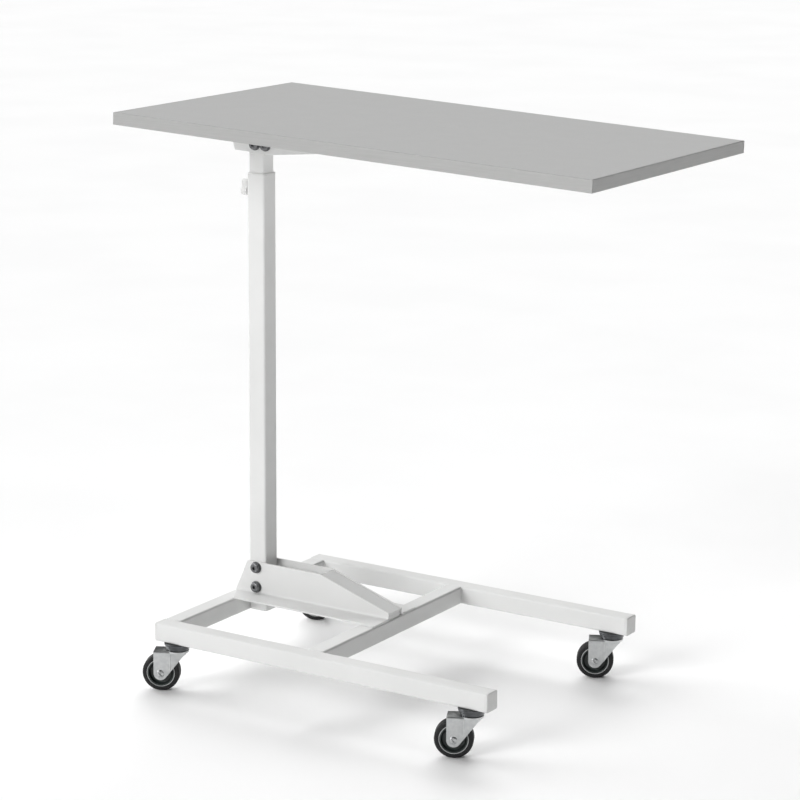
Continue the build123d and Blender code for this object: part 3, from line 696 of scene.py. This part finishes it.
# %% Axle bolts
head_face = -leg_half - axle_head
bolt_end = leg_half + 5 * MM
axle_profile = [(0, head_face), (2.6 * MM, head_face + 0.05 * MM), (4.1 * MM, head_face + 0.45 * MM),
                (4.8 * MM, head_face + 1.2 * MM), (5 * MM, -leg_half), (axle_radius, -leg_half),
                (axle_radius, bolt_end - 0.5 * MM), (2.5 * MM, bolt_end), (0, bolt_end)]
for corner in corners:
    bolt = turned(axle_profile, upright, 48)
    slot = block((-3.3 * MM, -0.85 * MM, head_face - MM), (3.3 * MM, 0.85 * MM, -leg_half + 0.3 * MM),
                 Matrix.Rotation(math.radians(50), 4, "Z"), 0.6 * MM, 2)
    bolt = combine(bolt, slot, "DIFFERENCE")
    bmesh.ops.transform(bolt, matrix=wheel_places[corner], verts=bolt.verts)
    add_piece(bolt, f"{corner}_axle", f"{corner}_caster", "zinc_steel", [f"{corner}_axle_bolt"])

# %% [markdown]
# ## The clamp knob
# A hand grips three soft lobes. The outline is one formula: a circle whose radius swells three
# times in a turn. The edge facing the hand is rounded more than the back.

# %% The clamp knob
knob_low, knob_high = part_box("clamp_knob")
turn = joints["clamp_turn"]["pos_m"]
knob_depth = knob_high.x - knob_low.x
knob_middle_radius = 9.3 * MM
lobe_swell = 0.28
hand_side_round = 2.2 * MM
back_round = 0.8 * MM
stud_radius = 4 * MM
stud_seat = 7 * MM
lobe_angle = math.radians(250)
knob_place = place(Vector((knob_high.x, turn[1], turn[2])), Vector((0, 1, 0)), Vector((0, 0, -1)),
                   Vector((-1, 0, 0)))
knob = bmesh.new()
disc = bmesh.ops.create_circle(knob, cap_ends=True, segments=72, radius=knob_middle_radius)
for vert in disc["verts"]:
    angle = math.atan2(vert.co.y, vert.co.x)
    vert.co *= 1 + lobe_swell * math.cos(3 * (angle - lobe_angle))
pulled = bmesh.ops.extrude_face_region(knob, geom=list(knob.faces))
raised = [item for item in pulled["geom"] if isinstance(item, bmesh.types.BMVert)]
bmesh.ops.translate(knob, verts=raised, vec=(0, 0, knob_depth))
front_rim = [edge for edge in knob.edges if all(v.co.z > knob_depth / 2 for v in edge.verts)]
bmesh.ops.bevel(knob, geom=front_rim, offset=hand_side_round, segments=5, profile=0.5, affect="EDGES",
                material=-1)
back_rim = [edge for edge in knob.edges if all(v.co.z < knob_depth / 20 for v in edge.verts)]
bmesh.ops.bevel(knob, geom=back_rim, offset=back_round, segments=3, profile=0.5, affect="EDGES",
                material=-1)
bmesh.ops.transform(knob, matrix=knob_place, verts=knob.verts)
bmesh.ops.recalc_face_normals(knob, faces=knob.faces)
knob = combine(knob, rod(stud_radius, -MM, stud_seat, knob_place), "DIFFERENCE")
add_piece(knob, "clamp_knob_moulding", "clamp_screw", "white_plastic", ["clamp_knob"])

# %% [markdown]
# ## Weld beads
# Where one tube meets another the welder leaves a low bead, and the powder coat softens it. A bead
# is a thin ring pulled along the joint in short steps, each step a little wider or narrower, which
# gives the ripple of a real run.

# %% Weld beads
ripple = 1.3 * MM


def weld(start, end, radius):
    """One rippled bead between two points."""
    run = Vector(end) - Vector(start)
    steps = max(4, round(run.length / ripple))
    shape = bmesh.new()
    ring = bmesh.ops.create_circle(shape, cap_ends=False, segments=10, radius=radius * 0.5)["verts"]
    edges = list(shape.edges)
    shape.faces.new(ring)
    for step in range(1, steps + 1):
        pulled = bmesh.ops.extrude_edge_only(shape, edges=edges)["geom"]
        ring = [item for item in pulled if isinstance(item, bmesh.types.BMVert)]
        edges = [item for item in pulled if isinstance(item, bmesh.types.BMEdge)
                 and all(vert in ring for vert in item.verts)]
        bmesh.ops.translate(shape, verts=ring, vec=(0, 0, run.length / steps))
        middle = sum((vert.co for vert in ring), Vector()) / len(ring)
        wanted = radius * (0.5 if step == steps else 1 + 0.13 * math.cos(step * math.pi))
        now = (ring[0].co - middle).length
        bmesh.ops.scale(shape, verts=ring, vec=(wanted / now,) * 3,
                        space=Matrix.Translation(-middle))
    shape.faces.new(ring)
    bmesh.ops.recalc_face_normals(shape, faces=shape.faces)
    turn_to = Vector((0, 0, 1)).rotation_difference(run).to_matrix().to_4x4()
    bmesh.ops.transform(shape, matrix=Matrix.Translation(Vector(start)) @ turn_to, verts=shape.verts)
    return shape


def square_weld(low, high, level, inset, radius):
    """Beads on the four sides of a tube whose end meets a flat face; level is the joint's Y."""
    runs = []
    for x in (low.x, high.x):
        runs.append(((x, level, low.z + inset), (x, level, high.z - inset)))
    for z in (low.z, high.z):
        sunk = z + (radius if z == low.z else -radius)
        runs.append(((low.x + inset, level, sunk), (high.x - inset, level, sunk)))
    return [weld(start, end, radius) for start, end in runs]


beads = []
for node in ("column_cross_tube", "middle_cross_tube"):
    low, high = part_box(node)
    for level in (low.y, high.y):
        beads += square_weld(low, high, level, 3 * MM, 1.5 * MM)
for side in (-1, 1):
    edge_y = side * flange_y
    beads.append(weld((gusset_high.x - MM, side * (cheek_y + 3 * MM), gusset_low.z + MM),
                      (gusset_high.x - MM, edge_y, gusset_low.z + MM), 1.2 * MM))
    middle_low, middle_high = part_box("middle_cross_tube")
    beads.append(weld((middle_low.x + 3 * MM, edge_y, gusset_low.z + 0.6 * MM),
                      (middle_high.x - 3 * MM, edge_y, gusset_low.z + 0.6 * MM), 1.3 * MM))
add_piece(merge(beads), "base_welds", "base", "white_powder_coat")

block_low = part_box("head_block")[0]
neck = 2.5 * MM
neck_runs = []
for y in (inner_low.y, inner_high.y):
    neck_runs.append(((inner_low.x + neck, y, block_low.z), (inner_high.x - neck, y, block_low.z)))
neck_runs.append(((inner_high.x, inner_low.y + neck, block_low.z),
                  (inner_high.x, inner_high.y - neck, block_low.z)))
neck_beads = [weld(start, end, 1.1 * MM) for start, end in neck_runs]
add_piece(merge(neck_beads), "head_weld", "lift", "white_powder_coat")

# %% [markdown]
# ## Floor and light
# A very large pale floor and three broad soft lights, each low enough that the shadow of the top
# falls clear of the base: one in front, one on the left, one behind. No broad light stands on the
# right, so faces turned that way stay darker than the front; a low panel lifts them near the
# floor. The light behind is kept out of reflections, so it adds to the diffuse light alone. A
# narrow strip at the front draws a faint bright line down each race.

# %% Floor
floor_half = 40.0
floor_shape = bmesh.new()
bmesh.ops.create_grid(floor_shape, x_segments=8, y_segments=8, size=floor_half)
floor_mesh = bpy.data.meshes.new("studio_floor")
floor_shape.to_mesh(floor_mesh)
floor_shape.free()
floor_finish, floor_shader = start_finish("studio_floor", Roughness=0.9, Specular_IOR_Level=0.0)
wire(floor_finish, colour_between(floor_finish, grain(floor_finish, 0.4), (0.93, 0.93, 0.93),
                                  (0.95, 0.95, 0.95)), floor_shader, "Base Color")
floor_mesh.materials.append(floor_finish)
floor = bpy.data.objects.new("studio_floor", floor_mesh)
bpy.context.scene.collection.objects.link(floor)


# %% Lights
def soft_light(name, from_way, strength, spread):
    """A broad light from far away: its angle is the apparent size of the source."""
    lamp = bpy.data.lights.new(name, "SUN")
    lamp.energy = strength
    lamp.angle = math.radians(spread)
    light = bpy.data.objects.new(name, lamp)
    light.rotation_euler = Vector(from_way).to_track_quat("Z", "Y").to_euler()
    bpy.context.scene.collection.objects.link(light)
    return light


def panel_light(name, spot, aimed_at, size, power):
    """A rectangular lamp at a place, turned towards a point."""
    lamp = bpy.data.lights.new(name, "AREA")
    lamp.shape = "RECTANGLE"
    lamp.size, lamp.size_y = size
    lamp.energy = power
    light = bpy.data.objects.new(name, lamp)
    light.location = spot
    light.rotation_euler = (Vector(spot) - Vector(aimed_at)).to_track_quat("Z", "Y").to_euler()
    bpy.context.scene.collection.objects.link(light)


soft_light("front_light", (-0.30, -0.88, 0.40), 1.80, 30)
soft_light("left_light", (-0.85, 0.05, 0.52), 2.25, 50)
behind = soft_light("back_light", (-0.45, 0.75, 0.52), 2.25, 40)
behind.visible_glossy = False
panel_light("low_right_panel", (1.5, -0.2, 0.16), (0.1, 0, 0.05), (0.8, 0.25), 1.4)
panel_light("front_strip", (-0.75, -3.2, 0.75), (0, 0, 0.05), (0.12, 1.0), 5.0)

world = bpy.data.worlds.new("studio")
world.use_nodes = True
world.node_tree.nodes["Background"].inputs["Color"].default_value = (1, 1, 1, 1)
world.node_tree.nodes["Background"].inputs["Strength"].default_value = 0.08
bpy.context.scene.world = world
bpy.context.scene.view_settings.view_transform = "Standard"
